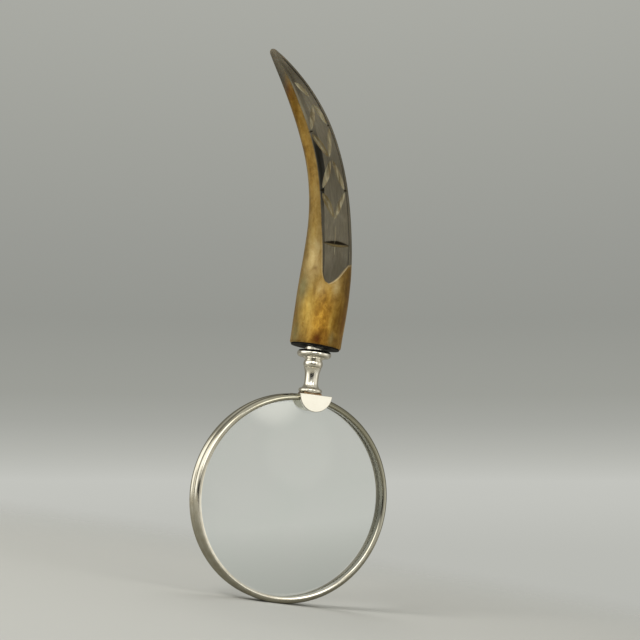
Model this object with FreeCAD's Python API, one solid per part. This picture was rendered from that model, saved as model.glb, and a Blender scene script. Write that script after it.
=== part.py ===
import FreeCAD, Part

import math
import os

from FreeCAD import Vector

# Magnifying glass: a big biconvex lens in a double-bead metal rim, a turned collar built up on a
# stud, and a curved horn handle with a carved flat on its front.
# Millimetres. Origin at the lowest point of the rim, +Z along the handle, -Y the front face.
# The horn bends towards -X in the plane y = 0.

# Rim and lens
RIM_RADIUS = 50.0
BEAD_RADIUS = 2.1
BEAD_OFFSET = 3.0
LIP_RADIUS = 46.8
GROOVE_FLOOR_RADIUS = 49.0
CHANNEL_RADIUS = 48.4
CHANNEL_HALF_WIDTH = 1.9
RIM_SPLIT_DEGREES = 0.5
LENS_RADIUS = 47.9
LENS_HALF_EDGE = 1.5
LENS_HALF_CENTRE = 4.4
LINER_INNER_RADIUS = 46.95
LENS_AXIS_Z = RIM_RADIUS
RIM_TOP_Z = 2.0 * RIM_RADIUS
RIM_HALF_WIDTH = BEAD_OFFSET + BEAD_RADIUS

# Saddle over the split of the rim
SADDLE_HALF_LENGTH = 4.6
SADDLE_HALF_WIDTH = 3.9
SADDLE_BOTTOM_Z = RIM_TOP_Z - 2.0
SADDLE_TOP_Z = RIM_TOP_Z + 1.0
SADDLE_CUT_MARGIN = 20.0
PLATE_RADIUS = 8.4
PLATE_THICKNESS = 1.4
PLATE_EDGE_Z = RIM_TOP_Z + 0.2
PLATE_OFF_CENTRE = 0.7
PLATE_EDGE_ROUND = 0.3

# Turned collar, built up on the stud
STUD_RADIUS = 2.0
STUD_CLEARANCE = 0.1
STUD_BOTTOM_Z = RIM_TOP_Z - 0.5
STUD_TOP_Z = 158.0
STUD_CHAMFER = 0.5
FLANGE_TOP_Z = 103.3
NECK_TOP_Z = 113.3
BEAD_TOP_Z = 117.3
CAP_TOP_Z = 123.3
# (radius, height) of the turned outlines, from below upwards
FLANGE_OUTLINE = [(5.0, SADDLE_TOP_Z), (5.8, 102.2), (4.9, FLANGE_TOP_Z)]
NECK_OUTLINE = [(4.6, FLANGE_TOP_Z), (3.65, 104.8), (3.4, 107.4), (3.55, 110.4), (4.3, NECK_TOP_Z)]
BEAD_OUTLINE = [(4.0, NECK_TOP_Z), (4.75, 115.3), (4.0, BEAD_TOP_Z)]
CAP_UNDERSIDE = [(4.1, BEAD_TOP_Z), (5.4, 118.1), (7.1, 118.4)]
CAP_EDGE = [(7.1, 118.4), (8.4, 120.2), (6.8, 121.9)]
CAP_NECK_RADIUS = 4.7
CAP_NECK_BOTTOM_Z = 122.2
# The saddle, collar and stud lean a little to +X on their way down, about the top of the cap
COLLAR_LEAN_DEGREES = 3.2
CAP_SPARE_HEIGHT = 1.0
DISC_RADIUS = 11.9
DISC_THICKNESS = 0.7

# Horn handle: the centre line leaves the base straight up and bends away as a power curve
HORN_BASE_Z = CAP_TOP_Z + DISC_THICKNESS
HORN_TIP_Z = 263.0
HORN_TIP_X = -48.1
HORN_BEND_POWER = 3.5
# (height, radius) of the horn's round sections
HORN_SECTIONS = [
    (HORN_BASE_Z, 12.6),
    (136.0, 12.85),
    (148.0, 12.85),
    (160.0, 12.5),
    (172.0, 11.8),
    (184.0, 10.8),
    (196.0, 9.95),
    (208.0, 9.35),
    (219.0, 8.8),
    (229.0, 8.2),
    (238.0, 7.25),
    (246.0, 6.15),
    (253.0, 4.7),
    (258.5, 3.2),
    (HORN_TIP_Z, 1.3),
]
PLUG_BASE_RADIUS = 9.2
PLUG_TOP_RADIUS = 7.0
PLUG_TOP_Z = 168.0

# Carved flat on the front of the horn
FLAT_SHARE_OF_RADIUS = 0.84
FLAT_END_Z = 259.0
FLAT_START_BELOW = 4.0
FLAT_STEPS = 8
# Planes well outside the horn, which bound what is cut away in front of the flat
CUTTER_LEFT_X = -70.0
CUTTER_RIGHT_X = 30.0
CUTTER_FRONT_Y = -20.0
CUTTER_TOP_Z = 280.0
# Lower end of the flat, seen from the front, from its left border round to the right side
FLAT_OUTLINE = [
    (-14.0, 172.0),
    (-7.2, 172.0),
    (-6.2, 158.0),
    (-4.4, 154.2),
    (-1.4, 153.8),
    (7.0, 163.6),
    (14.0, 166.0),
]
GOUGE_SINK = 0.15
HORN_WALK_STEP = 0.25
# Gouges on the flat: (from, to, greatest width), each end as (height up the horn, offset across it)
GOUGES = [
    ((50.2, -6.4), (50.2, 6.4), 3.2),
    ((75.0, -5.6), (63.0, -1.6), 2.2),
    ((74.5, 5.0), (62.5, -1.8), 2.2),
    ((79.5, -5.4), (91.0, -0.2), 2.2),
    ((78.5, 4.8), (91.0, 0.9), 2.4),
    ((105.0, -4.4), (94.5, -0.8), 2.0),
    ((106.5, 3.8), (94.5, -0.4), 2.0),
    ((110.0, -4.2), (119.5, 0.6), 2.0),
    ((110.0, 3.6), (119.5, 1.1), 2.0),
    ((133.5, -1.0), (124.5, 1.0), 1.8),
]
SCRIBE_LINE = ((45.0, -1.2), (58.5, -1.0), 0.7)

Y_AXIS = Vector(0, 1, 0)
Z_AXIS = Vector(0, 0, 1)
LENS_CENTRE = Vector(0, 0, LENS_AXIS_Z)


def line(a, b):
    return Part.LineSegment(a, b).toShape()


def arc(a, through, b):
    return Part.Arc(a, through, b).toShape()


def curve(points):
    spline = Part.BSplineCurve()
    spline.interpolate(points)
    return spline.toShape()


def face(edges):
    return Part.Face(Part.Wire(edges))


def around_lens(radius, y):
    """A point of a section of the rim or lens, on the +Z side of the lens axis."""
    return Vector(0, y, LENS_AXIS_Z + radius)


def turned(edges, bore=STUD_RADIUS + STUD_CLEARANCE):
    """A turned part on the Z axis, drilled through for the stud."""
    solid = face(edges).revolve(Vector(0, 0, 0), Z_AXIS, 360)
    box = solid.BoundBox
    spare = STUD_RADIUS
    drill = Part.makeCylinder(bore, box.ZLength + 2 * spare, Vector(0, 0, box.ZMin - spare))
    return solid.cut(drill)


def turned_between(bottom_z, top_z, side):
    """Turned part whose side curve runs from bottom_z to top_z; side is its list of edges."""
    start = side[0].Vertexes[0].Point
    end = side[-1].Vertexes[-1].Point
    closing = [
        line(end, Vector(0, 0, top_z)),
        line(Vector(0, 0, top_z), Vector(0, 0, bottom_z)),
        line(Vector(0, 0, bottom_z), start),
    ]
    return turned(side + closing)


def split_ring(section):
    """Turn a section round the lens axis, leaving the split at the top, under the saddle."""
    section.rotate(LENS_CENTRE, Y_AXIS, RIM_SPLIT_DEGREES / 2)
    return section.revolve(LENS_CENTRE, Y_AXIS, 360 - RIM_SPLIT_DEGREES)


def bead_side(radius):
    """Half width of the rim where its beads cross the given radius, outer and inner side."""
    from_centre = radius - (RIM_RADIUS - BEAD_RADIUS)
    reach = math.sqrt(BEAD_RADIUS**2 - from_centre**2)
    return BEAD_OFFSET + reach, BEAD_OFFSET - reach


def make_lens():
    edge_front = around_lens(LENS_RADIUS, -LENS_HALF_EDGE)
    edge_back = around_lens(LENS_RADIUS, LENS_HALF_EDGE)
    front = around_lens(0, -LENS_HALF_CENTRE)
    back = around_lens(0, LENS_HALF_CENTRE)
    rise = LENS_HALF_CENTRE - LENS_HALF_EDGE
    sphere_radius = (LENS_RADIUS**2 + rise**2) / (2 * rise)
    half = LENS_RADIUS / 2
    y_half = LENS_HALF_CENTRE - (sphere_radius - math.sqrt(sphere_radius**2 - half**2))
    section = face([
        arc(front, around_lens(half, -y_half), edge_front),
        line(edge_front, edge_back),
        arc(edge_back, around_lens(half, y_half), back),
        line(back, front),
    ])
    return section.revolve(LENS_CENTRE, Y_AXIS, 360)


def rim_outside():
    """Edges of the rim's outer side: two beads with a groove between them."""
    lip_y, _ = bead_side(LIP_RADIUS)
    _, groove_y = bead_side(GROOVE_FLOOR_RADIUS)
    front = [around_lens(LIP_RADIUS, -lip_y), around_lens(RIM_RADIUS, -BEAD_OFFSET)]
    floor = [around_lens(GROOVE_FLOOR_RADIUS, -groove_y), around_lens(GROOVE_FLOOR_RADIUS, groove_y)]
    back = [around_lens(RIM_RADIUS, BEAD_OFFSET), around_lens(LIP_RADIUS, lip_y)]
    return [arc(front[0], front[1], floor[0]), line(floor[0], floor[1]), arc(floor[1], back[0], back[1])]


def make_rim_band():
    edges = rim_outside()
    start = edges[0].Vertexes[0].Point
    end = edges[-1].Vertexes[-1].Point
    corners = [
        end,
        around_lens(LIP_RADIUS, CHANNEL_HALF_WIDTH),
        around_lens(CHANNEL_RADIUS, CHANNEL_HALF_WIDTH),
        around_lens(CHANNEL_RADIUS, -CHANNEL_HALF_WIDTH),
        around_lens(LIP_RADIUS, -CHANNEL_HALF_WIDTH),
        start,
    ]
    edges += [line(a, b) for a, b in zip(corners, corners[1:])]
    return split_ring(face(edges))


def make_lens_liner(lens):
    corners = [
        around_lens(LINER_INNER_RADIUS, -CHANNEL_HALF_WIDTH),
        around_lens(CHANNEL_RADIUS, -CHANNEL_HALF_WIDTH),
        around_lens(CHANNEL_RADIUS, CHANNEL_HALF_WIDTH),
        around_lens(LINER_INNER_RADIUS, CHANNEL_HALF_WIDTH),
    ]
    strip = split_ring(face([line(a, b) for a, b in zip(corners, corners[1:] + corners[:1])]))
    return strip.cut(lens)


def rim_envelope():
    """The rim's outer shape as one filled disc, for seating the saddle on it."""
    edges = rim_outside()
    start = edges[0].Vertexes[0].Point
    end = edges[-1].Vertexes[-1].Point
    middle = [around_lens(0, end.y), around_lens(0, start.y)]
    edges += [line(end, middle[0]), line(middle[0], middle[1]), line(middle[1], start)]
    return face(edges).revolve(LENS_CENTRE, Y_AXIS, 360)


def lean(shape):
    """Turn a piece of the collar about the top of the cap, so that its lower end moves to +X."""
    shape.rotate(Vector(0, 0, CAP_TOP_Z), Y_AXIS, -COLLAR_LEAN_DEGREES)
    return shape


def stud_bore(bottom_z, top_z):
    """The clearance hole for the stud between two heights, leaning with it."""
    radius = STUD_RADIUS + STUD_CLEARANCE
    return lean(Part.makeCylinder(radius, top_z - bottom_z, Vector(0, 0, bottom_z)))


def make_saddle_block():
    corner = Vector(-SADDLE_HALF_LENGTH, -SADDLE_HALF_WIDTH, SADDLE_BOTTOM_Z)
    height = SADDLE_TOP_Z - SADDLE_BOTTOM_Z
    block = lean(Part.makeBox(2 * SADDLE_HALF_LENGTH, 2 * SADDLE_HALF_WIDTH, height, corner))
    return block.cut(rim_envelope()).cut(stud_bore(STUD_BOTTOM_Z, SADDLE_TOP_Z + height))


def make_half_round_plate(inner_y, outward):
    """Half-round cover plate standing on the rim's side at inner_y, with its outer edge rounded."""
    centre = Vector(PLATE_OFF_CENTRE, inner_y, PLATE_EDGE_Z)
    disc = Part.makeCylinder(PLATE_RADIUS, PLATE_THICKNESS, centre, Vector(0, outward, 0))
    margin = SADDLE_CUT_MARGIN
    keep = Part.makeBox(2 * margin, 2 * margin, margin, Vector(-margin, -margin, PLATE_EDGE_Z - margin))
    plate = disc.common(keep)
    outer_y = inner_y + outward * PLATE_THICKNESS
    rounded = [e for e in plate.Edges if all(abs(v.Point.y - outer_y) < 1e-6 for v in e.Vertexes)]
    return lean(plate.makeFillet(PLATE_EDGE_ROUND, rounded))


def outline_points(outline):
    return [Vector(radius, 0, z) for radius, z in outline]


def make_lower_flange():
    side = [arc(*outline_points(FLANGE_OUTLINE))]
    return lean(turned_between(SADDLE_TOP_Z, FLANGE_TOP_Z, side))


def make_neck_spool():
    side = [curve(outline_points(NECK_OUTLINE))]
    return lean(turned_between(FLANGE_TOP_Z, NECK_TOP_Z, side))


def make_bead_ring():
    side = [arc(*outline_points(BEAD_OUTLINE))]
    return lean(turned_between(NECK_TOP_Z, BEAD_TOP_Z, side))


def make_dome_cap():
    """Flared cap with a thick rounded edge and a short neck, its top cut level under the horn."""
    edge_top = outline_points(CAP_EDGE)[-1]
    neck_low = Vector(CAP_NECK_RADIUS, 0, CAP_NECK_BOTTOM_Z)
    above_z = CAP_TOP_Z + CAP_SPARE_HEIGHT
    side = [
        arc(*outline_points(CAP_UNDERSIDE)),
        arc(*outline_points(CAP_EDGE)),
        line(edge_top, neck_low),
        line(neck_low, Vector(CAP_NECK_RADIUS, 0, above_z)),
    ]
    cap = lean(turned_between(BEAD_TOP_Z, above_z, side))
    return cap.cut(Part.makeCylinder(DISC_RADIUS, 2 * CAP_SPARE_HEIGHT, Vector(0, 0, CAP_TOP_Z)))


def make_horn_end_disc():
    disc = Part.makeCylinder(DISC_RADIUS, DISC_THICKNESS, Vector(0, 0, CAP_TOP_Z))
    return disc.cut(stud_bore(BEAD_TOP_Z, STUD_TOP_Z))


def make_mount_stud():
    length = STUD_TOP_Z - STUD_BOTTOM_Z
    rod = Part.makeCylinder(STUD_RADIUS, length, Vector(0, 0, STUD_BOTTOM_Z))
    ends = [e for e in rod.Edges if isinstance(e.Curve, Part.Circle) and e.Closed]
    return lean(rod.makeChamfer(STUD_CHAMFER, ends))


def plug_shape():
    height = PLUG_TOP_Z - HORN_BASE_Z
    return Part.makeCone(PLUG_BASE_RADIUS, PLUG_TOP_RADIUS, height, Vector(0, 0, HORN_BASE_Z))


def make_horn_core_plug():
    return plug_shape().cut(stud_bore(BEAD_TOP_Z, STUD_TOP_Z))


def horn_line(z):
    """Point of the horn's centre line at height z, and the unit vector along it."""
    span = HORN_TIP_Z - HORN_BASE_Z
    t = max(z - HORN_BASE_Z, 0) / span
    x = HORN_TIP_X * t**HORN_BEND_POWER
    slope = HORN_TIP_X * HORN_BEND_POWER * t ** (HORN_BEND_POWER - 1) / span
    return Vector(x, 0, z), Vector(slope, 0, 1).normalize()


def horn_radius(z):
    for (low_z, low_r), (high_z, high_r) in zip(HORN_SECTIONS, HORN_SECTIONS[1:]):
        if z <= high_z:
            return low_r + (high_r - low_r) * (z - low_z) / (high_z - low_z)
    return HORN_SECTIONS[-1][1]


def horn_height_at(distance):
    """Height z of the point this far along the centre line from the base."""
    z = HORN_BASE_Z
    walked = 0.0
    while walked < distance:
        _, along = horn_line(z)
        walked += HORN_WALK_STEP / along.z
        z += HORN_WALK_STEP
    return z


def horn_body():
    wires = []
    for z, radius in HORN_SECTIONS:
        centre, along = horn_line(z)
        tilt = math.degrees(math.atan2(along.x, along.z))
        wire = Part.Wire(Part.makeCircle(radius))
        wire.Placement = FreeCAD.Placement(centre, FreeCAD.Rotation(Y_AXIS, tilt))
        wires.append(wire)
    return Part.makeLoft(wires, True, False)


def front_flat_cutter():
    """What is cut away in front of the carved flat, with its slanted, rounded lower end."""
    left_x, right_x, front_y = CUTTER_LEFT_X, CUTTER_RIGHT_X, CUTTER_FRONT_Y
    start_z = min(z for _, z in FLAT_OUTLINE) - FLAT_START_BELOW
    rise = (FLAT_END_Z - start_z) / FLAT_STEPS
    heights = [start_z + i * rise for i in range(FLAT_STEPS + 1)]
    surface = [Vector(left_x, -FLAT_SHARE_OF_RADIUS * horn_radius(z), z) for z in heights]
    outer = [Vector(left_x, front_y, FLAT_END_Z), Vector(left_x, front_y, start_z)]
    side = curve(surface)
    edges = [side, line(surface[-1], outer[0]), line(outer[0], outer[1]), line(outer[1], surface[0])]
    slab = face(edges).extrude(Vector(right_x - left_x, 0, 0))
    lower = [Vector(x, front_y, z) for x, z in FLAT_OUTLINE]
    right = [Vector(right_x, front_y, FLAT_OUTLINE[-1][1]), Vector(right_x, front_y, CUTTER_TOP_Z)]
    left = [Vector(left_x, front_y, CUTTER_TOP_Z), Vector(left_x, front_y, FLAT_OUTLINE[0][1])]
    corners = lower + right + left
    outline = face([line(a, b) for a, b in zip(corners, corners[1:] + corners[:1])])
    return slab.common(outline.extrude(Vector(0, -front_y, 0)))


def on_flat(distance, across):
    """Point on the carved flat, from the distance along the horn and the offset across it."""
    z = horn_height_at(distance)
    centre, along = horn_line(z)
    sideways = Vector(along.z, 0, -along.x)
    return centre + sideways * across - Vector(0, FLAT_SHARE_OF_RADIUS * horn_radius(z) + GOUGE_SINK, 0)


def gouge(start, end, width):
    """A leaf-shaped cut: an arc turned about the straight line between its two ends."""
    a = on_flat(*start)
    b = on_flat(*end)
    across = (b - a).cross(Y_AXIS).normalize()
    bulge = (a + b) * 0.5 + across * (width / 2)
    leaf = face([arc(a, bulge, b), line(b, a)]).revolve(a, (b - a).normalize(), 360)
    if leaf.Volume < 0:
        leaf.reverse()
    return leaf


def make_horn_handle():
    horn = horn_body().cut(plug_shape())
    horn = horn.cut(front_flat_cutter())
    for cut in GOUGES + [SCRIBE_LINE]:
        horn = horn.cut(gouge(*cut))
    return horn


def save(name, shape):
    solids = shape.Solids
    assert len(solids) == 1 and solids[0].isValid(), (name, len(solids))
    solids[0].exportStep(os.path.join("parts", name + ".step"))
    print(f"{name}: volume {solids[0].Volume:.1f} mm3")


def main():
    os.makedirs("parts", exist_ok=True)
    lens = make_lens()
    save("lens", lens)
    save("lens_liner", make_lens_liner(lens))
    save("rim_band", make_rim_band())
    save("saddle_block", make_saddle_block())
    save("saddle_front_plate", make_half_round_plate(-RIM_HALF_WIDTH, -1))
    save("saddle_rear_plate", make_half_round_plate(RIM_HALF_WIDTH, 1))
    save("lower_flange", make_lower_flange())
    save("neck_spool", make_neck_spool())
    save("bead_ring", make_bead_ring())
    save("dome_cap", make_dome_cap())
    save("mount_stud", make_mount_stud())
    save("horn_end_disc", make_horn_end_disc())
    save("horn_core_plug", make_horn_core_plug())
    save("horn_handle", make_horn_handle())


main()
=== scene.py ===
import math

import bmesh
import bpy
import numpy as np
from mathutils import Matrix, Vector


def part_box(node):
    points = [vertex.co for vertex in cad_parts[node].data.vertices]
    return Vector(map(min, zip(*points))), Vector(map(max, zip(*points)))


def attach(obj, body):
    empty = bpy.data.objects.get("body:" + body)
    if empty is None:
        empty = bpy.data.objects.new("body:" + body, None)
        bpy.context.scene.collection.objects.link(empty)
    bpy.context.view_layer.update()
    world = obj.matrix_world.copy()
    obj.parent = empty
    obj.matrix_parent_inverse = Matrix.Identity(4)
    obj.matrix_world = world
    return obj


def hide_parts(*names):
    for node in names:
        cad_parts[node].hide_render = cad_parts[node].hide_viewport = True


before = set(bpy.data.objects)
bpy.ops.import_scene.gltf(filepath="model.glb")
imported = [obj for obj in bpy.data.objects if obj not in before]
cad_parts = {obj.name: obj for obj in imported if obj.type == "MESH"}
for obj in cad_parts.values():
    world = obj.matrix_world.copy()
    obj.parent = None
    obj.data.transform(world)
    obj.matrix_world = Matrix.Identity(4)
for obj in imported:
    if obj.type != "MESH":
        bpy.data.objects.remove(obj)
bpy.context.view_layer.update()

MM = 0.001

# Rim and lens, as in the CAD model. The lens axis is parallel to Y.
RIM_RADIUS = 50.0 * MM
BEAD_RADIUS = 2.1 * MM
BEAD_OFFSET = 3.0 * MM
LIP_RADIUS = 46.8 * MM
GROOVE_FLOOR_RADIUS = 49.0 * MM
CHANNEL_RADIUS = 48.4 * MM
CHANNEL_HALF_WIDTH = 1.9 * MM
RIM_SPLIT = math.radians(0.5)
LENS_RADIUS = 47.88 * MM
LENS_HALF_EDGE = 1.5 * MM
LENS_HALF_CENTRE = 4.4 * MM
LENS_CENTRE = Vector((0, 0, RIM_RADIUS))
RIM_SEGMENTS = 360
LENS_SEGMENTS = 256
BEAD_STEPS = 22
LENS_FACE_STEPS = 60
# Angle between faces above which an edge is drawn hard, in degrees
TURNED_HARD_EDGE = 35
HORN_HARD_EDGE = 50
# Points nearer to each other than this are one point
RIM_MERGE = 1e-7
HORN_MERGE = 1e-9
# Painted shade on the rim, darker towards the upper right: where round the ring it is strongest, and how
# much of it there is
PAINTED_SHADE_CENTRE = math.radians(30)
PAINTED_SHADE_MEAN = 0.42
PAINTED_SHADE_SWING = 0.46

# Horn: bend law and radii of the CAD model, then the carving on it
HORN_BASE_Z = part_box("horn_handle")[0].z
HORN_TIP_Z = 263.0 * MM
HORN_TIP_X = -48.1 * MM
HORN_BEND_POWER = 3.5


# ---------------------------------------------------------------- meshes


def new_object(name, mesh):
    piece = bpy.data.objects.new(name, mesh)
    bpy.context.scene.collection.objects.link(piece)
    return piece


def grid_mesh(name, points, capped):
    """Quads over rows of points, each row closed into a ring. The first and last ring can be capped."""
    rows, columns = points.shape[:2]
    mesh = bpy.data.meshes.new(name)
    faces = []
    for i in range(rows - 1):
        here, above = i * columns, (i + 1) * columns
        for j in range(columns):
            k = (j + 1) % columns
            faces.append((here + j, here + k, above + k, above + j))
    if capped:
        faces.append(tuple(reversed(range(columns))))
        faces.append(tuple(range((rows - 1) * columns, rows * columns)))
    mesh.from_pydata(points.reshape(-1, 3).tolist(), [], faces)
    mesh.polygons.foreach_set("use_smooth", [True] * len(mesh.polygons))
    mesh.update()
    return mesh


def fix_normals(mesh, merge):
    """Joins points closer than merge and turns every face outwards."""
    work = bmesh.new()
    work.from_mesh(mesh)
    bmesh.ops.remove_doubles(work, verts=work.verts, dist=merge)
    bmesh.ops.recalc_face_normals(work, faces=work.faces)
    work.to_mesh(mesh)
    work.free()


def sharpen(piece, degrees):
    """Smooth shading with hard edges above the given angle."""
    mesh = piece.data
    work = bmesh.new()
    work.from_mesh(mesh)
    limit = math.radians(degrees)
    for edge in work.edges:
        if len(edge.link_faces) == 2 and edge.calc_face_angle(0) > limit:
            edge.smooth = False
    work.to_mesh(mesh)
    work.free()


def arc_points(centre, radius, start, end, steps):
    """Points of an arc in a section plane, from one angle to the other, in radians."""
    angles = np.linspace(start, end, steps)
    return [(centre[0] + radius * math.cos(a), centre[1] + radius * math.sin(a)) for a in angles]


def lathe_round_lens_axis(name, profile, segments, split=0.0):
    """Turns a closed (radius, y) profile round the lens axis, leaving a split at the top."""
    profile = np.array(profile)
    count = segments if split == 0 else segments + 1
    angles = split / 2 + np.arange(count) * (2 * math.pi - split) / segments
    ring = np.zeros((count, len(profile), 3))
    ring[:, :, 0] = np.outer(np.sin(angles), profile[:, 0])
    ring[:, :, 1] = profile[:, 1]
    ring[:, :, 2] = LENS_CENTRE.z + np.outer(np.cos(angles), profile[:, 0])
    if split == 0:
        ring = np.concatenate([ring, ring[:1]])
    mesh = grid_mesh(name, ring, split > 0)
    fix_normals(mesh, RIM_MERGE)
    return new_object(name, mesh)


def claim(piece, node, material):
    """The piece stands in for a CAD node, which it hides, rides on the body and takes the given material."""
    piece.data.materials.clear()
    piece.data.materials.append(material)
    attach(piece, "root")
    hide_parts(node)
    return piece


# ---------------------------------------------------------------- material helpers


def new_material(name):
    material = bpy.data.materials.new(name)
    material.use_nodes = True
    tree = material.node_tree
    tree.nodes.clear()
    output = tree.nodes.new("ShaderNodeOutputMaterial")
    shader = tree.nodes.new("ShaderNodeBsdfPrincipled")
    tree.links.new(shader.outputs["BSDF"], output.inputs["Surface"])
    return material, tree, shader


def link(tree, source, target):
    tree.links.new(source, target)


def coordinates(tree, scale=(1, 1, 1), attribute=None):
    if attribute:
        source = tree.nodes.new("ShaderNodeAttribute")
        source.attribute_name = attribute
        vector = source.outputs["Vector"]
    else:
        source = tree.nodes.new("ShaderNodeTexCoord")
        vector = source.outputs["Object"]
    mapping = tree.nodes.new("ShaderNodeMapping")
    mapping.inputs["Scale"].default_value = scale
    link(tree, vector, mapping.inputs["Vector"])
    return mapping.outputs["Vector"]


def noise(tree, vector, scale, detail=4.0, roughness=0.55, distortion=0.0):
    node = tree.nodes.new("ShaderNodeTexNoise")
    node.inputs["Scale"].default_value = scale
    node.inputs["Detail"].default_value = detail
    node.inputs["Roughness"].default_value = roughness
    node.inputs["Distortion"].default_value = distortion
    link(tree, vector, node.inputs["Vector"])
    return node.outputs["Fac"]


def ramp(tree, value, stops):
    node = tree.nodes.new("ShaderNodeValToRGB")
    elements = node.color_ramp.elements
    while len(elements) < len(stops):
        elements.new(0.5)
    for element, (position, colour) in zip(elements, stops):
        element.position = position
        element.color = (*colour, 1)
    link(tree, value, node.inputs["Fac"])
    return node.outputs["Color"]


def grey(value):
    return (value, value, value)


def mix(tree, factor, a, b):
    node = tree.nodes.new("ShaderNodeMix")
    node.data_type = "RGBA"
    for socket, source in ((node.inputs[0], factor), (node.inputs[6], a), (node.inputs[7], b)):
        if isinstance(source, (int, float)):
            socket.default_value = source
        elif isinstance(source, tuple):
            socket.default_value = (*source, 1)
        else:
            link(tree, source, socket)
    return node.outputs[2]


def math_node(tree, operation, a, b=None, clamp=False):
    node = tree.nodes.new("ShaderNodeMath")
    node.operation = operation
    node.use_clamp = clamp
    for socket, source in zip(node.inputs, (a, b)):
        if source is None:
            continue
        if isinstance(source, (int, float)):
            socket.default_value = source
        else:
            link(tree, source, socket)
    return node.outputs[0]


def bump(tree, shader, height, strength, distance):
    node = tree.nodes.new("ShaderNodeBump")
    node.inputs["Strength"].default_value = strength
    node.inputs["Distance"].default_value = distance
    link(tree, height, node.inputs["Height"])
    link(tree, node.outputs["Normal"], shader.inputs["Normal"])


def reflected_ray(tree):
    """1 for rays that come off a polished surface, 0 for rays seen directly or through the glass."""
    path = tree.nodes.new("ShaderNodeLightPath")
    not_through = math_node(tree, "SUBTRACT", 1.0, path.outputs["Is Transmission Ray"])
    return math_node(tree, "MULTIPLY", path.outputs["Is Glossy Ray"], not_through)


def blend_shaders(tree, factor, shader, material_output):
    """Shows the clear shader instead of the given one where the factor is 1."""
    clear = tree.nodes.new("ShaderNodeBsdfTransparent")
    both = tree.nodes.new("ShaderNodeMixShader")
    link(tree, factor, both.inputs["Fac"])
    link(tree, shader.outputs["BSDF"], both.inputs[1])
    link(tree, clear.outputs["BSDF"], both.inputs[2])
    link(tree, both.outputs["Shader"], material_output.inputs["Surface"])


def attribute_value(tree, name):
    node = tree.nodes.new("ShaderNodeAttribute")
    node.attribute_name = name
    return node.outputs["Fac"]


# ---------------------------------------------------------------- materials


SILVER = (0.90, 0.88, 0.83)
SILVER_TARNISHED = (0.62, 0.54, 0.40)
# Colour of the painted shade on the rim's upper right
SILVER_PAINTED_SHADE = (0.20, 0.195, 0.135)
POLISH_ROUGHNESS = 0.10
GLASS_IOR = 1.52


def silver_plate(name, tarnish, painted_shade=False):
    """Polished silver plate over brass: warm white, a little tarnish, fine rubbing marks, and where asked,
    painted shade from the mesh.
    """
    material, tree, shader = new_material(name)
    vector = coordinates(tree)
    cloud = noise(tree, vector, 260, 5, 0.6)
    patches = ramp(tree, cloud, [(0.40, grey(0)), (0.72, grey(tarnish))])
    colour = mix(tree, patches, SILVER, SILVER_TARNISHED)
    # Painted shade, darker towards the upper right of the rim, where the mesh asks for it
    if painted_shade:
        colour = mix(tree, attribute_value(tree, "painted_shade"), colour, SILVER_PAINTED_SHADE)
    link(tree, colour, shader.inputs["Base Color"])
    shader.inputs["Metallic"].default_value = 1.0
    rubbing = noise(tree, coordinates(tree, (1, 1, 9)), 900, 3, 0.7)
    rough = ramp(tree, rubbing, [(0.35, grey(POLISH_ROUGHNESS * 0.6)), (0.75, grey(POLISH_ROUGHNESS * 1.5))])
    link(tree, rough, shader.inputs["Roughness"])
    bump(tree, shader, rubbing, 0.06, 0.00006)
    return material


def clear_glass(name):
    """Optical glass that lets the lamps through, so that it doesn't cast a solid shadow."""
    material, tree, shader = new_material(name)
    shader.inputs["Transmission Weight"].default_value = 1.0
    shader.inputs["IOR"].default_value = GLASS_IOR
    shader.inputs["Roughness"].default_value = 0.0
    haze = noise(tree, coordinates(tree), 30, 3, 0.5, 0.6)
    tint = ramp(tree, haze, [(0.3, (0.925, 0.955, 0.935)), (0.7, (0.955, 0.965, 0.955))])
    link(tree, tint, shader.inputs["Base Color"])
    output = next(n for n in tree.nodes if n.type == "OUTPUT_MATERIAL")
    path = tree.nodes.new("ShaderNodeLightPath")
    blend_shaders(tree, path.outputs["Is Shadow Ray"], shader, output)
    return material


def packing_strip(name):
    material, tree, shader = new_material(name)
    speckle = noise(tree, coordinates(tree), 1500, 3)
    colour = ramp(tree, speckle, [(0.3, (0.20, 0.195, 0.15)), (0.7, (0.30, 0.29, 0.23))])
    link(tree, colour, shader.inputs["Base Color"])
    shader.inputs["Roughness"].default_value = 0.7
    bump(tree, shader, speckle, 0.2, 0.00005)
    return material


def black_horn_disc(name):
    material, tree, shader = new_material(name)
    speckle = noise(tree, coordinates(tree), 700, 4)
    link(tree, ramp(tree, speckle, [(0.3, grey(0.004)), (0.75, grey(0.012))]), shader.inputs["Base Color"])
    link(tree, ramp(tree, speckle, [(0.3, grey(0.45)), (0.75, grey(0.6))]), shader.inputs["Roughness"])
    shader.inputs["Specular IOR Level"].default_value = 0.06
    bump(tree, shader, speckle, 0.1, 0.00005)
    return material


def plain_steel(name):
    material, tree, shader = new_material(name)
    brushed = noise(tree, coordinates(tree, (1, 1, 0.1)), 3000, 3)
    link(tree, ramp(tree, brushed, [(0.3, grey(0.42)), (0.7, grey(0.56))]), shader.inputs["Base Color"])
    shader.inputs["Metallic"].default_value = 1.0
    link(tree, ramp(tree, brushed, [(0.3, grey(0.28)), (0.7, grey(0.42))]), shader.inputs["Roughness"])
    return material


def brown_silver(name):
    """Silver plate darkened to brown in patches, with tarnished silver between."""
    material, tree, shader = new_material(name)
    stain = noise(tree, coordinates(tree), 500, 4)
    brown = [(0.30, (0.16, 0.085, 0.045)), (0.58, (0.36, 0.24, 0.14))]
    link(tree, ramp(tree, stain, [*brown, (0.75, SILVER_TARNISHED)]), shader.inputs["Base Color"])
    shader.inputs["Metallic"].default_value = 1.0
    shader.inputs["Roughness"].default_value = 0.35
    return material


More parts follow.
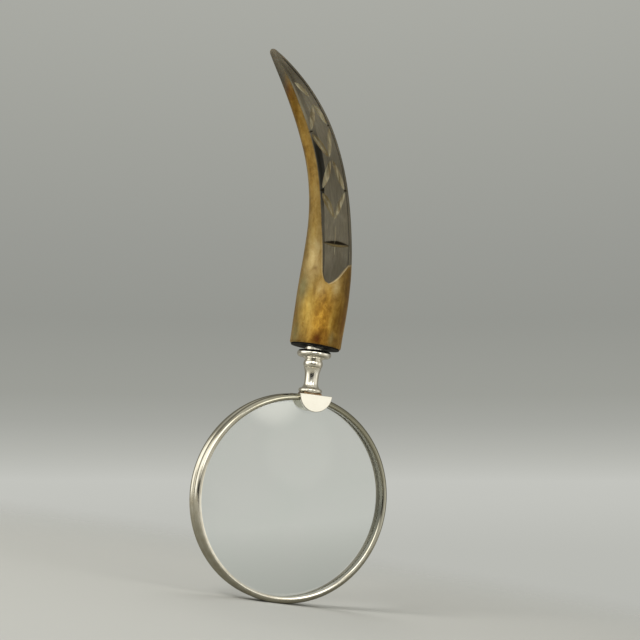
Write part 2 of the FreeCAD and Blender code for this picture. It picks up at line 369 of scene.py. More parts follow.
def pale_wood(name):
    material, tree, shader = new_material(name)
    grain = noise(tree, coordinates(tree, (1, 1, 0.06)), 900, 5, 0.6, 0.4)
    colour = ramp(tree, grain, [(0.3, (0.30, 0.17, 0.07)), (0.7, (0.48, 0.31, 0.15))])
    link(tree, colour, shader.inputs["Base Color"])
    shader.inputs["Roughness"].default_value = 0.65
    bump(tree, shader, grain, 0.2, 0.0001)
    return material


# Horn colours from the dark to the light end of its mottling, first the body, then zone by zone
HONEY = [(0.36, (0.106, 0.058, 0.010)), (0.50, (0.190, 0.120, 0.032)), (0.64, (0.265, 0.185, 0.068))]
ZONE_COLOURS = {
    "amber": [
        (0.35, (0.180, 0.075, 0.005)),
        (0.45, (0.340, 0.165, 0.016)),
        (0.53, (0.560, 0.310, 0.042)),
        (0.64, (0.720, 0.480, 0.110)),
    ],
    "umber": [(0.37, (0.075, 0.034, 0.001)), (0.50, (0.155, 0.075, 0.004)), (0.63, (0.270, 0.155, 0.022))],
    "pale": [(0.34, (0.380, 0.250, 0.080)), (0.52, (0.530, 0.400, 0.175)), (0.66, (0.620, 0.520, 0.280))],
    "gold": [(0.35, (0.400, 0.240, 0.042)), (0.50, (0.610, 0.405, 0.090)), (0.65, (0.740, 0.570, 0.200))],
    "green": [(0.36, (0.130, 0.112, 0.040)), (0.64, (0.290, 0.255, 0.120))],
    "brown": [(0.36, (0.045, 0.010, 0.001)), (0.64, (0.150, 0.042, 0.003))],
}
CUT_COLOURS = [(0.34, (0.120, 0.092, 0.046)), (0.50, (0.215, 0.185, 0.115)), (0.66, (0.310, 0.280, 0.185))]
SKIN_COLOURS = [(0.34, (0.078, 0.068, 0.047)), (0.66, (0.170, 0.150, 0.108))]
# Colour of the broad darker patches on the skin
DARKER_SKIN_COLOUR = (0.040, 0.034, 0.022)
# Light colour of the painted highlights along the skin's foot and left border
SKIN_EDGE_HIGHLIGHT = (0.52, 0.46, 0.30)
# Near-black colour of the painted shade in the bevels
BEVEL_SHADE = (0.012, 0.011, 0.008)
# Brown of the painted shade in some gouges, also a tint on the slit's lit face
BROWN_CUT_AND_SHADE = (0.105, 0.072, 0.022)
# Near-black colour of the painted shade in the notches and the slit
DEEP_CUT_SHADE = (0.018, 0.013, 0.006)


def weighted(tree, *parts):
    """Sum of values, each times its weight."""
    total = None
    for value, weight in parts:
        share = math_node(tree, "MULTIPLY", value, weight)
        total = share if total is None else math_node(tree, "ADD", total, share)
    return total


def horn_material(name):
    """Polished horn. Attributes of the mesh say where it is pale, amber, dark or cut, and where shade and
    highlights are painted on its bevels, edges and cuts.
    """
    material, tree, shader = new_material(name)
    clouds = noise(tree, coordinates(tree, (1, 1, 0.5), "grain"), 110, 5, 0.6, 0.8)
    mottle = noise(tree, coordinates(tree, (1, 1, 0.8), "grain"), 420, 5, 0.65, 0.5)
    streaks = noise(tree, coordinates(tree, (1, 1, 0.07), "grain"), 700, 4, 0.6)
    scratches = noise(tree, coordinates(tree, (1, 1, 0.05), "grain"), 1500, 3, 0.7)

    # Body colour: olive honey, with pale, amber and greenish clouds that drift into each other
    depth = weighted(tree, (clouds, 0.55), (mottle, 0.30), (streaks, 0.15))
    colour = ramp(tree, depth, HONEY)
    for zone, stops in ZONE_COLOURS.items():
        amount = math_node(tree, "ADD", clouds, 0.55)
        amount = math_node(tree, "MULTIPLY", attribute_value(tree, zone), amount, True)
        colour = mix(tree, amount, colour, ramp(tree, depth, stops))

    # Charcoal skin of the carved flat, with faint lengthwise scratches
    charcoal = ramp(tree, weighted(tree, (scratches, 0.5), (clouds, 0.5)), SKIN_COLOURS)
    # Darker in broad patches along the skin
    charcoal = mix(tree, attribute_value(tree, "darker_skin"), charcoal, DARKER_SKIN_COLOUR)
    dark = attribute_value(tree, "dark")
    colour = mix(tree, dark, colour, charcoal)
    # Painted highlights: light lines along the foot and the left border of the skin
    colour = mix(tree, attribute_value(tree, "edge"), colour, SKIN_EDGE_HIGHLIGHT)
    # Near-black painted shade in the scooped bevels beside the flat
    bevel = attribute_value(tree, "bevel")
    colour = mix(tree, bevel, colour, BEVEL_SHADE)

    # Cuts show cream horn under the skin, with brown painted shade in some gouges and a brown tint on the
    # slit's lit face
    cut = attribute_value(tree, "cut")
    colour = mix(tree, cut, colour, ramp(tree, streaks, CUT_COLOURS))
    colour = mix(tree, attribute_value(tree, "brown_cut_and_shade"), colour, BROWN_CUT_AND_SHADE)
    # Near-black painted shade in the notches, on the slit's upper face and in a line under the slit
    colour = mix(tree, attribute_value(tree, "deep"), colour, DEEP_CUT_SHADE)
    link(tree, colour, shader.inputs["Base Color"])

    polish = ramp(tree, depth, [(0.36, grey(0.26)), (0.64, grey(0.44))])
    dull = ramp(tree, scratches, [(0.3, grey(0.42)), (0.7, grey(0.58))])
    rough = mix(tree, dark, polish, dull)
    rough = mix(tree, bevel, rough, grey(0.20))
    rough = mix(tree, cut, rough, grey(0.60))
    link(tree, rough, shader.inputs["Roughness"])
    shader.inputs["Specular IOR Level"].default_value = 0.13
    shader.inputs["Subsurface Weight"].default_value = 0.15
    shader.inputs["Subsurface Radius"].default_value = (0.004, 0.002, 0.0008)
    shader.inputs["Subsurface Scale"].default_value = 0.5
    height = math_node(tree, "ADD", math_node(tree, "MULTIPLY", scratches, 0.5), mottle)
    bump(tree, shader, height, 0.22, 0.00008)
    return material


# ---------------------------------------------------------------- rim, lens and collar


def rim_profile():
    """Closed (radius, y) section of the rim: two beads, a groove and the channel for the lens."""
    centre_radius = RIM_RADIUS - BEAD_RADIUS
    lip_angle = math.acos((LIP_RADIUS - centre_radius) / BEAD_RADIUS)
    groove_angle = math.acos((GROOVE_FLOOR_RADIUS - centre_radius) / BEAD_RADIUS)
    front = arc_points((centre_radius, -BEAD_OFFSET), BEAD_RADIUS, -lip_angle, groove_angle, BEAD_STEPS)
    back = arc_points((centre_radius, BEAD_OFFSET), BEAD_RADIUS, -groove_angle, lip_angle, BEAD_STEPS)
    channel = [
        (LIP_RADIUS, CHANNEL_HALF_WIDTH),
        (CHANNEL_RADIUS, CHANNEL_HALF_WIDTH),
        (CHANNEL_RADIUS, -CHANNEL_HALF_WIDTH),
        (LIP_RADIUS, -CHANNEL_HALF_WIDTH),
    ]
    return front + back + channel


def lens_profile():
    """Half section of the lens from the axis out over the edge and back, as (radius, y)."""
    rise = LENS_HALF_CENTRE - LENS_HALF_EDGE
    sphere = (LENS_RADIUS**2 + rise**2) / (2 * rise)
    radii = np.linspace(1e-6, LENS_RADIUS, LENS_FACE_STEPS)
    y = LENS_HALF_CENTRE - (sphere - np.sqrt(sphere**2 - radii**2))
    front = list(zip(radii, -y))
    back = list(zip(radii[::-1], y[::-1]))
    return front + back


def make_rim():
    rim = lathe_round_lens_axis("rim", rim_profile(), RIM_SEGMENTS, RIM_SPLIT)
    sharpen(rim, TURNED_HARD_EDGE)
    # Painted shade, darker towards the upper right of the ring
    painted_shade = rim.data.attributes.new("painted_shade", "FLOAT", "POINT")
    for vertex, value in zip(rim.data.vertices, painted_shade.data):
        turn = math.atan2(vertex.co.x, vertex.co.z - LENS_CENTRE.z)
        value.value = PAINTED_SHADE_MEAN + PAINTED_SHADE_SWING * math.cos(turn - PAINTED_SHADE_CENTRE)
    return claim(rim, "rim_band", silver_plate("rim_silver", 0.5, True))


def make_lens():
    lens = lathe_round_lens_axis("lens_glass", lens_profile(), LENS_SEGMENTS)
    sharpen(lens, TURNED_HARD_EDGE)
    return claim(lens, "lens", clear_glass("lens_clear_glass"))


# ---------------------------------------------------------------- horn


# Height and radius of the horn's round sections, in millimetres, as in the CAD model
HORN_SECTIONS = [
    (124, 12.6), (136, 12.85), (148, 12.85), (160, 12.5), (172, 11.8), (184, 10.8), (196, 9.95),
    (208, 9.35), (219, 8.8), (229, 8.2), (238, 7.25), (246, 6.15), (253, 4.7), (258.5, 3.2), (263, 1.3),
]
# The sections are joined at steps of this many millimetres and smoothed over this many steps
HORN_SECTION_STEP = 0.5
HORN_SMOOTHING = 21


def horn_curve(count=4000):
    """Centre line samples: distance, point x and z, and the unit vector along it, in millimetres."""
    base, tip, reach = HORN_BASE_Z / MM, HORN_TIP_Z / MM, HORN_TIP_X / MM
    z = np.linspace(base, tip, count)
    t = (z - base) / (tip - base)
    x = reach * t**HORN_BEND_POWER
    slope = reach * HORN_BEND_POWER * t ** (HORN_BEND_POWER - 1) / (tip - base)
    length = np.concatenate([[0], np.cumsum(np.hypot(np.diff(x), np.diff(z)))])
    size = np.hypot(slope, 1)
    return length, x, z, slope / size, 1 / size


def smoothstep(low, high, value):
    t = np.clip((value - low) / (high - low), 0, 1)
    return t * t * (3 - 2 * t)


def leaf(s, n, start, end, width, power):
    """How deep each point lies in a leaf-shaped cut, from 0 outside to 1 on the middle of its spine."""
    a = np.array(start, float)
    b = np.array(end, float)
    length = np.hypot(*(b - a))
    d = (b - a) / length
    t = ((s - a[0]) * d[0] + (n - a[1]) * d[1]) / length
    e = -(s - a[0]) * d[1] + (n - a[1]) * d[0]
    inside = np.clip(4 * t * (1 - t), 0, 1) ** power
    half = np.maximum(inside * width / 2, 1e-6)
    depth = np.clip(1 - np.abs(e) / half, 0, 1) * inside
    depth[(t <= 0) | (t >= 1)] = 0
    return depth


TIP_ROUNDING = 1.6

# Leaf-shaped gouges: both ends as (distance along the horn, offset across it), width, depth and
# how much brown painted shade lies in the cut, with lengths in millimetres
GOUGES = [
    ((76.0, -6.6), (63.4, -1.8), 3.0, 0.95, 0.75),
    ((75.8, 5.8), (62.6, -1.4), 3.0, 0.95, 0.0),
    ((78.6, -6.3), (91.8, -0.2), 3.0, 0.95, 0.0),
    ((77.2, 5.6), (91.8, 1.0), 3.1, 0.95, 0.0),
    ((107.0, -5.4), (93.8, -0.9), 2.7, 0.85, 0.7),
    ((107.2, 4.8), (93.4, -0.4), 2.7, 0.85, 0.0),
    ((109.2, -5.2), (120.6, 1.1), 2.7, 0.85, 0.0),
    ((109.4, 4.4), (120.4, 1.6), 2.7, 0.85, 0.0),
    ((134.0, -1.5), (124.6, 1.6), 2.3, 0.65, 0.0),
]
# Small notches in both edges of the flat, between the diamonds, painted near-black as shade
NOTCHES = [
    ((77.4, -7.4), (77.2, -5.4), 1.1, 0.6),
    ((76.6, 5.4), (76.6, 7.2), 1.1, 0.6),
    ((108.3, -6.2), (108.2, -4.6), 1.0, 0.5),
    ((108.4, 4.2), (108.4, 5.8), 1.0, 0.5),
]
CROSS_SLIT = ((50.2, -7.6), (50.2, 8.4), 3.3, 1.5)
SCRIBE_LINE = ((44.5, -0.9), (59.0, -0.7), 0.7, 0.25)
# Outline of each kind of cut: the lower the power, the blunter its ends
GOUGE_POWER = 0.65
SLIT_POWER = 1.0
SCRIBE_POWER = 0.4
# Distance along the horn where the painted shade on the slit's upper face gives way to its lit lower face
SLIT_FACES = (50.5, 49.9)
# Depths in millimetres: the edge of the skin, the bevels' scoop and the rounded edge of the base
SKIN_STEP = 0.32
SCOOP_DEPTH = 0.9
BASE_ROUNDING = 0.35
# How much of a true flat the carved face is, from 0, round, to 1
FLATNESS = 0.70
# Points lie closer together within this angle of the front, where the carving is
FINE_HALF_ANGLE = 67
FINE_POINTS = 168
COARSE_POINTS = 76
CARVED_HALF_ANGLE = 80
CARVING_TURN = 2
SMALLEST_RADIUS = 0.02

# Borders of the carved flat: distance along the horn in mm, angle of the left border, angle of the
# right border and width of the polished bevel beside each, in degrees
FLAT_BORDERS = [
    (30, -24, 20, 1, 1), (35, -31, 30, 3, 3), (40, -34, 38, 5, 5), (50, -39, 42, 6, 5),
    (60, -46, 42, 9, 5), (70, -50, 42, 11, 5), (78, -51, 42, 16, 5), (86, -51, 42, 26, 6),
    (97, -50, 42, 28, 7), (105, -49, 42, 26, 7), (115, -48, 42, 28, 8), (125, -46, 40, 30, 9),
    (135, -38, 36, 28, 10), (145, -28, 28, 18, 12), (153, -12, 14, 6, 6),
]
# Lower end of the dark skin: angle round the horn against distance along it
SKIN_FOOT = [
    (-60, 60), (-34, 38), (-29, 33), (-23, 30.6), (-14, 29.8), (-5, 31), (8, 33.6), (20, 37),
    (35, 40.5), (60, 42), (100, 46), (122, 62), (140, 104), (160, 150),
]
# Clouds of colour in the horn: zone, distance along, angle round, reach along in mm, reach round in
# degrees, strength
COLOUR_CLOUDS = [
    ("pale", 40, -62, 9, 18, 1.0),
    ("pale", 27, -30, 4, 12, 0.35),
    ("pale", 30, 3, 5, 9, 0.55),
    ("pale", 60, 200, 25, 30, 0.6),
    ("gold", 15, -57, 11, 15, 0.85),
    ("gold", 56, -68, 12, 14, 0.2),
    ("amber", 9, -16, 20, 34, 1.0),
    ("amber", 4, 120, 26, 90, 1.0),
    ("amber", 100, -80, 30, 25, 0.35),
    ("umber", 14, 22, 20, 24, 0.95),
    ("umber", 32, 48, 16, 26, 0.9),
    ("umber", 126, -75, 16, 30, 0.8),
    ("green", 27, -76, 6, 16, 0.85),
    ("green", 4, -80, 5, 12, 0.6),
    ("green", 3.5, 10, 3, 6, 0.5),
    ("brown", 2.5, -22, 4, 13, 1.0),
    ("brown", 12, 44, 9, 12, 0.6),
    ("brown", 37, -50, 1.2, 5, 0.5),
    ("brown", 133, -75, 5, 30, 0.6),
    ("darker_skin", 34, 0, 9, 60, 0.55),
    ("darker_skin", 86, 0, 16, 90, 0.42),
    ("darker_skin", 138, 0, 9, 180, 0.5),
]


def wrap_degrees(angle):
    return (angle + 180) % 360 - 180


def horn_frame(s):
    """Centre point, direction and radius of the horn at each distance along it, in millimetres."""
    length, cx, cz, along_x, along_z = horn_curve()
    x0 = np.interp(s, length, cx)
    z0 = np.interp(s, length, cz)
    sections = np.array(HORN_SECTIONS, float)
    fine_z = np.arange(sections[0, 0], sections[-1, 0] + HORN_SECTION_STEP, HORN_SECTION_STEP)
    fine = np.interp(fine_z, sections[:, 0], sections[:, 1])
    kernel = np.hanning(HORN_SMOOTHING)
    fine = np.pad(fine, HORN_SMOOTHING // 2, mode="reflect", reflect_type="odd")
    fine = np.convolve(fine, kernel / kernel.sum(), "valid")
    radius = np.interp(z0, fine_z, fine)
    return x0, z0, np.interp(s, length, along_x), np.interp(s, length, along_z), radius, length[-1]


def make_horn():
    end_s = horn_frame(np.zeros(1))[-1]
    s_rows = np.concatenate([
        [0, 0.12, 0.35, 0.8],
        np.arange(1.6, 27, 0.8),
        np.arange(27, end_s - TIP_ROUNDING, 0.3),
        end_s - TIP_ROUNDING * np.cos(np.linspace(0, math.pi / 2, 9)),
    ])
    phi = np.concatenate([
        np.linspace(-FINE_HALF_ANGLE, FINE_HALF_ANGLE, FINE_POINTS, endpoint=False),
        np.linspace(FINE_HALF_ANGLE, 360 - FINE_HALF_ANGLE, COARSE_POINTS, endpoint=False),
    ])
    s, p = np.meshgrid(s_rows, phi, indexing="ij")
    x0, z0, ax, az, radius, _ = horn_frame(s)
    tip_round = np.clip((end_s - s) / TIP_ROUNDING, 0, 1)
    radius = radius * np.sqrt(np.clip(1 - (1 - tip_round) ** 2, 0, 1))

    # Natural form: slow waves along the horn and shallow growth rings near the base
    turn = np.radians(p)
    wave = 0.10 * np.sin(s / 9.0 + 1.3) * np.cos(turn * 2 + s / 30)
    wave += 0.05 * np.sin(s / 3.7) * smoothstep(60, 5, s) * np.cos(turn + 0.7)
    wave = wave * smoothstep(0, 6, s) * smoothstep(0, 12, end_s - s)
    edge_round = BASE_ROUNDING * smoothstep(0.8, 0.0, s) ** 2

    # Carved flat held between two borders, with a scooped bevel inside each
    borders = np.array(FLAT_BORDERS, float)
    columns = (np.interp(s, borders[:, 0], borders[:, i]) for i in (1, 2, 3, 4))
    left, right, bevel_left, bevel_right = columns
    foot = np.array(SKIN_FOOT, float)
    ragged = 2.5 * np.sin(turn * 9 + 1.0) * np.sin(turn * 5) * smoothstep(55, 80, p)
    foot_s = np.interp(p, foot[:, 0], foot[:, 1]) + ragged
    above_foot = smoothstep(-0.15, 0.35, s - foot_s)
    inner_left = left + bevel_left
    inner_right = right - bevel_right
    middle = (inner_left + inner_right) / 2
    q = np.radians(p - middle)
    half_flat = np.radians(np.clip((inner_right - inner_left) / 2, 3, 60))
    flat_depth = radius * (1 - np.cos(half_flat) / np.maximum(np.cos(q), 0.3))
    within_flat = (p > inner_left) & (p < inner_right)
    flat_depth = np.where(within_flat, np.maximum(flat_depth, 0), 0) * FLATNESS
    t_left = np.clip((p - left) / bevel_left, 0, 1)
    t_right = np.clip((right - p) / bevel_right, 0, 1)
    scoop_left = np.sin(math.pi * t_left**0.8) * ((p > left) & (p < inner_left))
    scoop_right = np.sin(math.pi * t_right**0.8) * ((p < right) & (p > inner_right))
    fade = smoothstep(0, 14, end_s - s)
    scoop_size = np.clip(radius / 10, 0.2, 1)
    scoop = scoop_left * np.clip(bevel_left / 20, 0.2, 1)
    scoop = scoop + 0.6 * scoop_right * np.clip(bevel_right / 10, 0.2, 1)
    step = SKIN_STEP * above_foot * ((p > left) & (p < right))
    depth = (step + flat_depth * above_foot + SCOOP_DEPTH * scoop * scoop_size * above_foot) * fade

    # Gouges, notches, slit and scribed line, measured on the surface across the horn
    n = radius * np.sin(np.radians(p + CARVING_TURN))
    front = (np.abs(p) < CARVED_HALF_ANGLE).astype(float)
    cut = np.zeros_like(s)
    brown_cut_and_shade = np.zeros_like(s)
    deep = np.zeros_like(s)
    cut_depth = np.zeros_like(s)
    # Gouges show cream horn, some with brown painted shade
    for start, end, width, deep_mm, brown_shade in GOUGES:
        amount = leaf(s, n, start, end, width, GOUGE_POWER) * front
        mask = smoothstep(0.01, 0.10, amount)
        cut = np.maximum(cut, mask)
        brown_cut_and_shade = np.maximum(brown_cut_and_shade, mask * brown_shade * smoothstep(0.75, 0.25, amount))
        cut_depth = np.maximum(cut_depth, amount * deep_mm)
    for start, end, width, deep_mm in NOTCHES:
        amount = leaf(s, n, start, end, width, GOUGE_POWER) * front
        deep = np.maximum(deep, smoothstep(0.05, 0.4, amount))
        cut_depth = np.maximum(cut_depth, amount * deep_mm)
    slit = leaf(s, n, *CROSS_SLIT[:3], SLIT_POWER) * front
    scribe = leaf(s, n, *SCRIBE_LINE[:3], SCRIBE_POWER) * front
    cut_depth = np.maximum(cut_depth, np.maximum(slit * CROSS_SLIT[3], scribe * SCRIBE_LINE[3]))
    lower_face = smoothstep(*SLIT_FACES, s)
    lit_slit = smoothstep(0.02, 0.15, slit) * lower_face
    scribed = smoothstep(0.05, 0.4, scribe)
    cut = np.maximum(cut, np.maximum(0.8 * scribed, lit_slit))
    brown_cut_and_shade = np.maximum(brown_cut_and_shade, 0.75 * lit_slit)
    # Painted shade: the slit's upper face and a dark line just under it
    slit_shadow_line = smoothstep(0.02, 0.08, slit) * smoothstep(0.32, 0.14, slit) * lower_face
    shaded_slit_face = smoothstep(0.02, 0.2, slit) * (1 - lower_face) * (1 - 0.6 * scribed)
    deep = np.maximum(np.maximum(deep, 0.75 * slit_shadow_line), shaded_slit_face)

    local = radius + wave * (radius > 2) - edge_round - depth - cut_depth * np.clip(radius / 4, 0, 1)
    local = np.maximum(local, SMALLEST_RADIUS)
    across = local * np.sin(turn)
    out = -local * np.cos(turn)
    points = np.stack([x0 + across * az, out, z0 - across * ax], axis=-1) * MM
    mesh = grid_mesh("horn", points, True)

    # What the material needs to know about each point
    along_dark = smoothstep(130, 141, s + 2.5 * np.sin(turn * 3))
    skin = above_foot * smoothstep(-0.6, 0.6, p - left) * smoothstep(178, 150, p)
    # Painted highlights along the foot of the skin and along two stretches of its left border
    foot_highlight = smoothstep(-0.75, -0.45, s - foot_s) * (1 - above_foot)
    foot_highlight = foot_highlight * smoothstep(-22, -6, p) * smoothstep(62, 45, p)
    left_edge_highlight = smoothstep(-3.2, -2.2, p - left) * (p < left)
    left_edge_highlight = left_edge_highlight * smoothstep(31, 34, s) * smoothstep(58, 46, s)
    upper_edge_highlight = smoothstep(0, 2, p - left) * smoothstep(12, 4, p - left)
    upper_edge_highlight = upper_edge_highlight * smoothstep(108, 118, s) * smoothstep(141, 132, s)
    # Painted shade in the bevels: near-black in the left one, much lighter above about 105 mm, and in the
    # right one
    left_bevel_shade = smoothstep(0.10, 0.45, scoop_left) * (1 - 0.85 * smoothstep(99, 112, s))
    left_bevel_shade = left_bevel_shade * (0.6 + 0.4 * smoothstep(64, 78, s))
    right_bevel_shade = smoothstep(0.10, 0.45, scoop_right) * (0.5 + 0.4 * smoothstep(108, 118, s))
    values = {
        "dark": np.maximum(skin, along_dark),
        "bevel": np.maximum(left_bevel_shade, right_bevel_shade) * above_foot * smoothstep(3, 10, end_s - s),
        "cut": cut,
        "brown_cut_and_shade": brown_cut_and_shade,
        "deep": deep,
        "edge": np.maximum(np.maximum(foot_highlight * 0.38, left_edge_highlight * 0.2), upper_edge_highlight * 0.22),
    }
    for zone in (*ZONE_COLOURS, "darker_skin"):
        values[zone] = np.zeros_like(s)
    for zone, at_s, at_phi, reach_s, reach_phi, strength in COLOUR_CLOUDS:
        away = ((s - at_s) / reach_s) ** 2 + (wrap_degrees(p - at_phi) / reach_phi) ** 2
        values[zone] = np.maximum(values[zone], strength * np.exp(-away))
    for name, value in values.items():
        layer = mesh.attributes.new(name, "FLOAT", "POINT")
        layer.data.foreach_set("value", value.ravel().astype(np.float32))
    grain = np.stack([across, out, s], axis=-1) * MM
    layer = mesh.attributes.new("grain", "FLOAT_VECTOR", "POINT")
    layer.data.foreach_set("vector", grain.reshape(-1, 3).ravel().astype(np.float32))
    fix_normals(mesh, HORN_MERGE)
    horn = new_object("horn", mesh)
    sharpen(horn, HORN_HARD_EDGE)
    return claim(horn, "horn_handle", horn_material("carved_horn"))


# ---------------------------------------------------------------- CAD nodes that stay


def dress(node, material):
    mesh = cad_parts[node].data
    for i in range(len(mesh.materials)):
        mesh.materials[i] = material
    if not mesh.materials:
        mesh.materials.append(material)


def dress_cad_nodes():
    turned = silver_plate("turned_silver", 0.45)
    for node in ("lower_flange", "neck_spool", "bead_ring", "dome_cap"):
        dress(node, turned)
    plate = silver_plate("plate_silver", 0.12)
    dress("saddle_front_plate", plate)
    dress("saddle_rear_plate", plate)
    dress("saddle_block", brown_silver("brown_silver_plate"))
    dress("lens_liner", packing_strip("packing_rubber"))
    dress("mount_stud", plain_steel("stud_steel"))
    dress("horn_end_disc", black_horn_disc("black_end_disc"))
    dress("horn_core_plug", pale_wood("plug_wood"))


# ---------------------------------------------------------------- stage, lights and camera


FLOOR_RADIUS = 3.0
# The floor fades out between these distances from the middle, in metres
FLOOR_FADE = (0.10, 0.62)
FLOOR_PAINT = (0.51, 0.515, 0.49)
# Polished surfaces see a painted shadow on the floor near the object, giving way to the lighter far tone
# between these distances
FLOOR_MIRRORED_SHADOW = (0.15, 0.145, 0.11)
FLOOR_MIRRORED_FAR = (0.50, 0.48, 0.40)
FLOOR_MIRRORED_CHANGE = (0.05, 0.35)


def map_range(tree, value, low, high, interpolation="LINEAR"):
    """0 at the low value, 1 at the high one."""
    node = tree.nodes.new("ShaderNodeMapRange")
    node.interpolation_type = interpolation
    node.inputs["From Min"].default_value = low
    node.inputs["From Max"].default_value = high
    link(tree, value, node.inputs["Value"])
    return node.outputs["Result"]


def make_floor():
    """Pale floor that fades out into the backdrop, so that no horizon shows."""
    work = bmesh.new()
    bmesh.ops.create_circle(work, cap_ends=True, segments=96, radius=FLOOR_RADIUS)
    mesh = bpy.data.meshes.new("floor")
    work.to_mesh(mesh)
    work.free()
    floor = new_object("floor", mesh)
    material, tree, shader = new_material("floor_paint")
    shader.inputs["Roughness"].default_value = 0.6
    source = tree.nodes.new("ShaderNodeTexCoord")
    distance = tree.nodes.new("ShaderNodeVectorMath")
    distance.operation = "LENGTH"
    link(tree, source.outputs["Object"], distance.inputs[0])
    fade = map_range(tree, distance.outputs["Value"], *FLOOR_FADE, "SMOOTHSTEP")
    away = map_range(tree, distance.outputs["Value"], *FLOOR_MIRRORED_CHANGE)
    # Painted shadow round the object, seen only in reflections
    mirrored = mix(tree, away, FLOOR_MIRRORED_SHADOW, FLOOR_MIRRORED_FAR)
    link(tree, mix(tree, reflected_ray(tree), FLOOR_PAINT, mirrored), shader.inputs["Base Color"])
    output = next(n for n in tree.nodes if n.type == "OUTPUT_MATERIAL")
    blend_shaders(tree, fade, shader, output)
    mesh.materials.append(material)


def on_sphere(azimuth, elevation, distance=1.0, centre=Vector((0, 0, 0))):
    a, e = math.radians(azimuth), math.radians(elevation)
    return centre + distance * Vector((math.sin(a) * math.cos(e), -math.cos(a) * math.cos(e), math.sin(e)))


# Backdrop brightness against elevation in degrees above a plane that leans a little to the left
BACKDROP_UP = on_sphere(-113.8, 81.1)
BACKDROP = [
    (-90, (0.47, 0.475, 0.44)),
    (-6, (0.48, 0.485, 0.45)),
    (-3, (0.495, 0.50, 0.465)),
    (-1, (0.535, 0.54, 0.505)),
    (0, (0.545, 0.55, 0.515)),
    (1.2, (0.46, 0.465, 0.43)),
    (2.6, (0.38, 0.385, 0.355)),
    (4, (0.335, 0.34, 0.31)),
    (7.5, (0.30, 0.305, 0.28)),
    (11, (0.32, 0.325, 0.30)),
    (16, (0.355, 0.36, 0.33)),
    (23, (0.405, 0.41, 0.375)),
    (45, (0.42, 0.42, 0.40)),
    (90, (0.40, 0.40, 0.38)),
]
# What polished surfaces see instead of the backdrop: a room from front to back, and in it soft round
# lamps, and dark patches in front below. Rows: azimuth, elevation, inner and outer angle, brightness
ROOM = [(0.10, (0.62, 0.60, 0.52)), (0.42, (0.50, 0.48, 0.41)), (0.62, (0.24, 0.23, 0.19))]
LAMP_TINT = (1, 0.975, 0.86)
STUDIO_LAMPS = [
    (-98, 8, 12, 34, 1.5),
    (60, 8, 8, 24, 1.0),
    (-62, 22, 10, 18, 1.8),
    (-23, 22, 12, 20, 2.6),
    (14, 26, 8, 15, 1.8),
    (-20, 75, 14, 32, 0.8),
    (-42, -12, 10, 17, 0.05),
    (-23, -13, 12, 18, 0.03),
    (-4, -12, 10, 17, 0.05),
    (23, 7.6, 5, 8, 1.10),
    (17, 17, 1.5, 7, 4.5),
]


def cosine_to(tree, direction, axis):
    """Cosine of the angle between the direction and the axis."""
    node = tree.nodes.new("ShaderNodeVectorMath")
    node.operation = "DOT_PRODUCT"
    node.inputs[1].default_value = axis
    link(tree, direction, node.inputs[0])
    return node.outputs["Value"]


def zero_to_one(tree, value):
    """Brings a value from -1 to 1 into 0 to 1."""
    return math_node(tree, "ADD", math_node(tree, "MULTIPLY", value, 0.5), 0.5)


def soft_spot(tree, direction, under, azimuth, elevation, inner, outer, colour):
    """Lays a round soft-edged spot of the given colour over what is seen in its direction."""
    cosine = cosine_to(tree, direction, on_sphere(azimuth, elevation))
    low, high = math.cos(math.radians(outer)), math.cos(math.radians(inner))
    return mix(tree, map_range(tree, cosine, low, high, "SMOOTHSTEP"), under, colour)


def make_world():
    """Plain grey backdrop. Reflections see a dim room with soft lamps instead."""
    world = bpy.data.worlds.new("studio")
    bpy.context.scene.world = world
    world.use_nodes = True
    tree = world.node_tree
    tree.nodes.clear()
    output = tree.nodes.new("ShaderNodeOutputWorld")
    background = tree.nodes.new("ShaderNodeBackground")
    source = tree.nodes.new("ShaderNodeTexCoord")
    direction = source.outputs["Generated"]
    split = tree.nodes.new("ShaderNodeSeparateXYZ")
    link(tree, direction, split.inputs[0])
    height = zero_to_one(tree, cosine_to(tree, direction, BACKDROP_UP))
    backdrop = ramp(tree, height, [((math.sin(math.radians(a)) + 1) / 2, c) for a, c in BACKDROP])
    room = ramp(tree, zero_to_one(tree, split.outputs["Y"]), ROOM)
    for azimuth, elevation, inner, outer, strength in STUDIO_LAMPS:
        colour = tuple(strength * share for share in LAMP_TINT)
        room = soft_spot(tree, direction, room, azimuth, elevation, inner, outer, colour)
    seen = mix(tree, reflected_ray(tree), backdrop, room)
    link(tree, seen, background.inputs["Color"])
    link(tree, background.outputs["Background"], output.inputs["Surface"])


SOFTBOX_COLOUR = (1, 0.98, 0.95)
SOFTBOX_AIM = Vector((0, 0, 0.13))


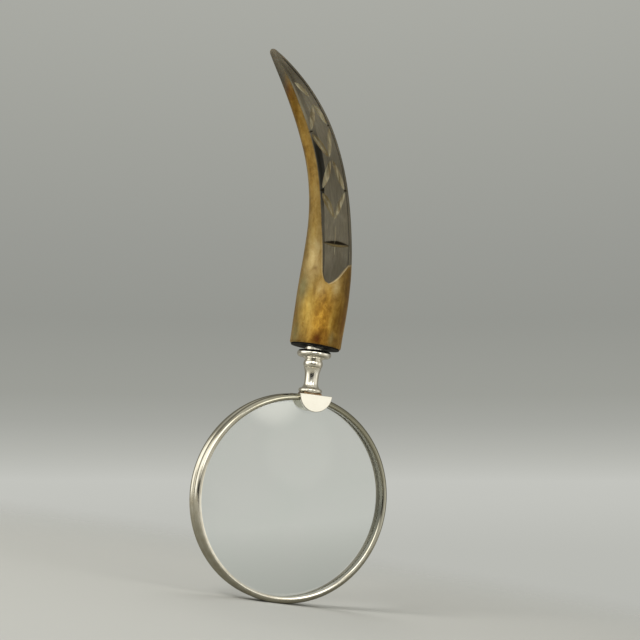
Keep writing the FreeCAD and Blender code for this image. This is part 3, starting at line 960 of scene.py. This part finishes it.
def softbox(name, azimuth, elevation, distance, size, power):
    """Square soft lamp that lights the scene. It doesn't show to the camera or in reflections."""
    light = bpy.data.lights.new(name, "AREA")
    light.shape = "SQUARE"
    light.size = size
    light.energy = power
    light.color = SOFTBOX_COLOUR
    lamp = bpy.data.objects.new(name, light)
    lamp.location = on_sphere(azimuth, elevation, distance, SOFTBOX_AIM)
    lamp.rotation_mode = "QUATERNION"
    lamp.rotation_quaternion = (SOFTBOX_AIM - lamp.location).to_track_quat("-Z", "Y")
    lamp.visible_camera = False
    lamp.visible_glossy = False
    lamp.visible_transmission = False
    bpy.context.scene.collection.objects.link(lamp)


def make_lights():
    softbox("key_left", -55, 34, 1.3, 0.5, 11.5)
    softbox("fill_right", 35, 22, 1.4, 0.7, 3.6)
    softbox("overhead_back", 170, 60, 1.4, 0.9, 6.0)


# Camera: place in metres, direction from the object to it and roll in degrees, lens in millimetres
CAMERA_PLACE = (-0.2289, -0.5375, 0.0593)
CAMERA_AZIMUTH = -23.1
CAMERA_ELEVATION = -7.6
CAMERA_ROLL = math.radians(9.1)
CAMERA_LENS = 67.5
CAMERA_SENSOR = 36.0


def make_camera():
    back = on_sphere(CAMERA_AZIMUTH, CAMERA_ELEVATION)
    right = (-back).cross(Vector((0, 0, 1))).normalized()
    up = right.cross(-back)
    right_rolled = math.cos(CAMERA_ROLL) * right + math.sin(CAMERA_ROLL) * up
    up_rolled = math.cos(CAMERA_ROLL) * up - math.sin(CAMERA_ROLL) * right
    data = bpy.data.cameras.new("camera")
    data.sensor_width = CAMERA_SENSOR
    data.lens = CAMERA_LENS
    data.clip_start = 0.01
    camera = bpy.data.objects.new("camera", data)
    rotation = Matrix((right_rolled, up_rolled, back)).transposed()
    camera.matrix_world = Matrix.Translation(CAMERA_PLACE) @ rotation.to_4x4()
    bpy.context.scene.collection.objects.link(camera)
    bpy.context.scene.camera = camera


make_camera()
make_rim()
make_lens()
make_horn()
dress_cad_nodes()
make_floor()
make_world()
make_lights()
bpy.context.scene.view_settings.view_transform = "Standard"
